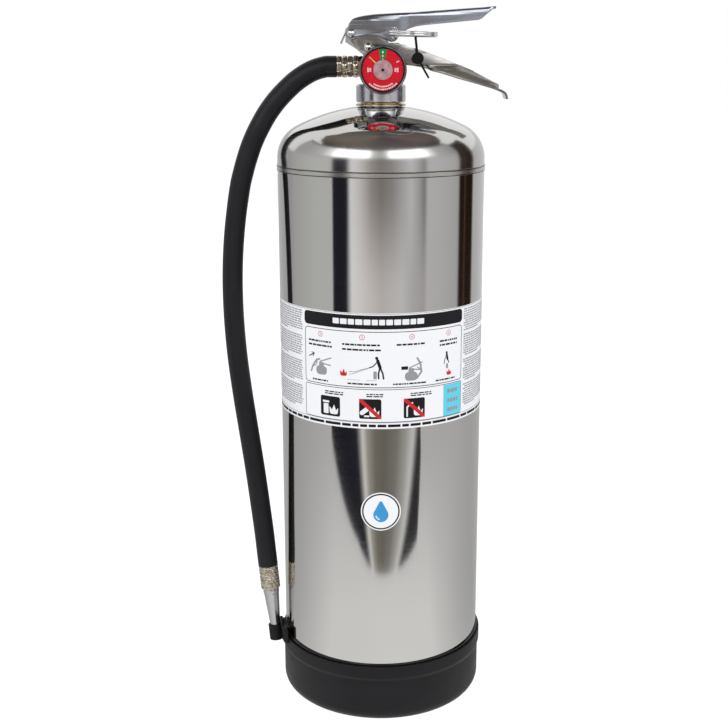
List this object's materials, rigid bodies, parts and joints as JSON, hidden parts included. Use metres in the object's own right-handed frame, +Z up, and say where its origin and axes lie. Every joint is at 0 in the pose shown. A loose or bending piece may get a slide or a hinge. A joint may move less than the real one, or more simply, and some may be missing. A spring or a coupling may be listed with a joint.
{
  "type": "fire extinguisher",
  "caption": "Tall stainless steel water fire extinguisher with squeeze lever and carry handle, dial gauge, ring pin, black rubber boot and a hose clipped at its base.",
  "frame": {"origin": "centre of the boot's flat underside, on the cylinder's axis", "axes": "+Z up along the cylinder, +X towards the lever and handle, -Y towards the viewer of the gauge"},
  "size_m": [0.2459, 0.184, 0.6128],
  "materials": {
    "stainless": "brushed stainless steel, polished",
    "weld_band": "slightly darkened weld band",
    "sheet_steel": "bright stamped stainless sheet",
    "rivet_steel": "bright steel",
    "nickel": "nickel plated brass, satin",
    "gauge_chrome": "bright chrome",
    "brass": "machined brass",
    "spring_steel": "drawn spring steel",
    "boot_rubber": "satin black moulded rubber",
    "hose_rubber": "black hose with a wrapped cloth impression",
    "seal_rubber": "matt black",
    "black_plastic": "black moulded plastic",
    "tube_plastic": "natural white tube",
    "label_film": "printed film, satin",
    "sticker_film": "printed foil, satin",
    "dial_red": "printed red dial",
    "needle_yellow": "yellow enamel",
    "gauge_glass": "clear lens",
    "nozzle_metal": "smooth grey"
  },
  "bodies": {
    "root": {"cylinder_body": "stainless", "cylinder_dome": "stainless", "weld_seam": "weld_band", "boot": "boot_rubber", "holder_strap": "black_plastic", "nozzle_holder": "black_plastic", "instruction_label": "label_film", "round_sticker": "sticker_film", "neck_ring": "brass", "collar_nut": "nickel", "collar_oring": "seal_rubber", "valve_body": "nickel", "siphon_tube": "tube_plastic", "siphon_nut": "brass", "overfill_tube": "tube_plastic", "spring_seat": "spring_steel", "valve_spring": "spring_steel", "stem_oring": "seal_rubber", "carry_handle": "sheet_steel", "handle_rivets": "rivet_steel", "lever_rivet": "rivet_steel", "gauge_stem": "brass", "gauge_case": "gauge_chrome", "bourdon_tube": "brass", "gauge_dial": "dial_red", "gauge_lens": "gauge_glass", "hose_fitting": "brass", "upper_ferrule": "nickel", "hose": "hose_rubber", "lower_ferrule": "nickel", "nozzle": "nozzle_metal"},
    "lever_arm": {"lever": "sheet_steel"},
    "stem": {"valve_stem": "brass", "stem_seal": "seal_rubber"},
    "pin": {"pull_pin": "rivet_steel"},
    "ring": {"pin_ring": "rivet_steel", "tamper_seal": "black_plastic"},
    "needle": {"gauge_needle": "needle_yellow"}
  },
  "joints": [
    {"name": "lever_squeeze", "type": "hinge", "parent": "root", "child": "lever_arm", "pos_m": [-0.0247, 0, 0.59091], "axis": [0, 1, 0], "range_deg": [0, 8], "stiffness_Nm_per_rad": 3, "springref_deg": -17.19},
    {"name": "stem_slide", "type": "slide", "parent": "root", "child": "stem", "axis": [0, 0, -1], "range_m": [0, 0.0035], "deforming": ["valve_spring"]},
    {"name": "pin_pull", "type": "slide", "parent": "lever_arm", "child": "pin", "axis": [0, -1, 0], "range_m": [0, 0.036]},
    {"name": "ring_swing", "type": "hinge", "parent": "pin", "child": "ring", "pos_m": [0.01115, -0.02423, 0.59031], "axis": [0, -1, 0], "range_deg": [0, 25]},
    {"name": "needle_turn", "type": "hinge", "parent": "root", "child": "needle", "pos_m": [0.0016, -0.035, 0.56151], "axis": [0, 1, 0], "range_deg": [0, 110], "stiffness_Nm_per_rad": 0.0001, "springref_deg": -28.65}
  ],
  "couplings": [
    {"joint": "stem_slide", "follows": "lever_squeeze", "m_per_rad": 0.0243}
  ]
}
